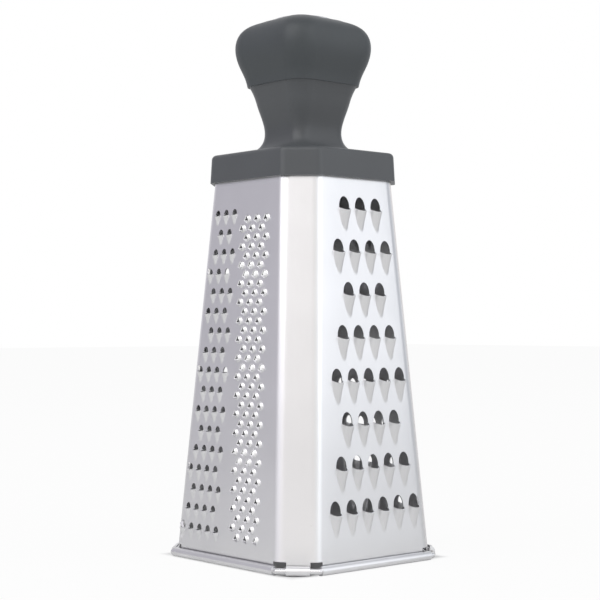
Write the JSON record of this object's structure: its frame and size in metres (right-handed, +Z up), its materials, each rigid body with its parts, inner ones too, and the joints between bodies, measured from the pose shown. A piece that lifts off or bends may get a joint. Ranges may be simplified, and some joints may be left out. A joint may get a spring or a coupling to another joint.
{
  "type": "box grater",
  "caption": "Four-sided stainless box grater with coarse, medium and fine teeth, star punches and slicing slots, on a wire rim, with a soft square knob.",
  "frame": {"origin": "centre of the base, on the surface that the grater stands on", "axes": "+Z up through the knob, +X out of the coarse side, -Y out of the side with fine teeth and star punches"},
  "size_m": [0.1002, 0.0952, 0.24],
  "materials": {
    "steel_sheet": "satin pressed stainless sheet",
    "steel_wire": "drawn stainless wire",
    "hard_plastic": "satin dark grey moulded plastic",
    "soft_grip": "soft dark grey moulded rubber",
    "bright_ring": "bright plated",
    "gloss_disc": "glossy black, plain",
    "fastener": "plain steel"
  },
  "bodies": {
    "root": {"coarse_panel": "steel_sheet", "fine_panel": "steel_sheet", "medium_panel": "steel_sheet", "slicing_panel": "steel_sheet", "rim_wire": "steel_wire", "top_plate": "steel_sheet", "handle_base": "hard_plastic", "grip": "soft_grip", "badge_ring": "bright_ring", "badge_disc": "gloss_disc", "handle_washer": "fastener", "handle_screw": "fastener"}
  },
  "joints": []
}
